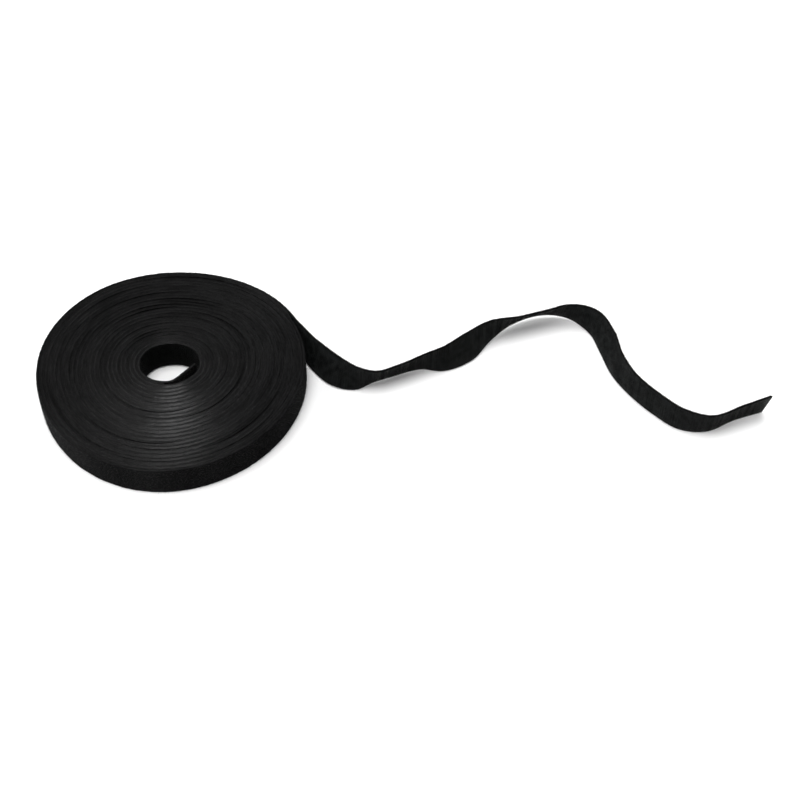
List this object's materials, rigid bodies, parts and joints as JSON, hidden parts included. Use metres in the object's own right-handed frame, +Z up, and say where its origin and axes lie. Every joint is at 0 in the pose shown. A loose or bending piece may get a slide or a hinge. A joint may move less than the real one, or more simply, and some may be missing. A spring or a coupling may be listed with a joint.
{
  "type": "hook and loop tape roll",
  "caption": "Coreless roll of black back-to-back hook and loop tape lying flat, its loose outer end standing on edge in waves.",
  "frame": {"origin": "middle of the whole part's footprint, on the surface that it lies on", "axes": "+Z up along the roll's axis; +X from the roll towards the free end of the tape, the part's longest extent; -Y is the side that the picture is taken from"},
  "size_m": [0.4352, 0.1552, 0.0214],
  "materials": {
    "hook_ply": "black moulded hooks on a woven ground, slight sheen",
    "loop_ply": "black napped loops, matt and fuzzy"
  },
  "bodies": {
    "root": {"hook_ply_winding": "hook_ply", "loop_ply_winding": "loop_ply", "hook_ply_tail": "hook_ply", "loop_ply_tail": "loop_ply"}
  },
  "joints": []
}
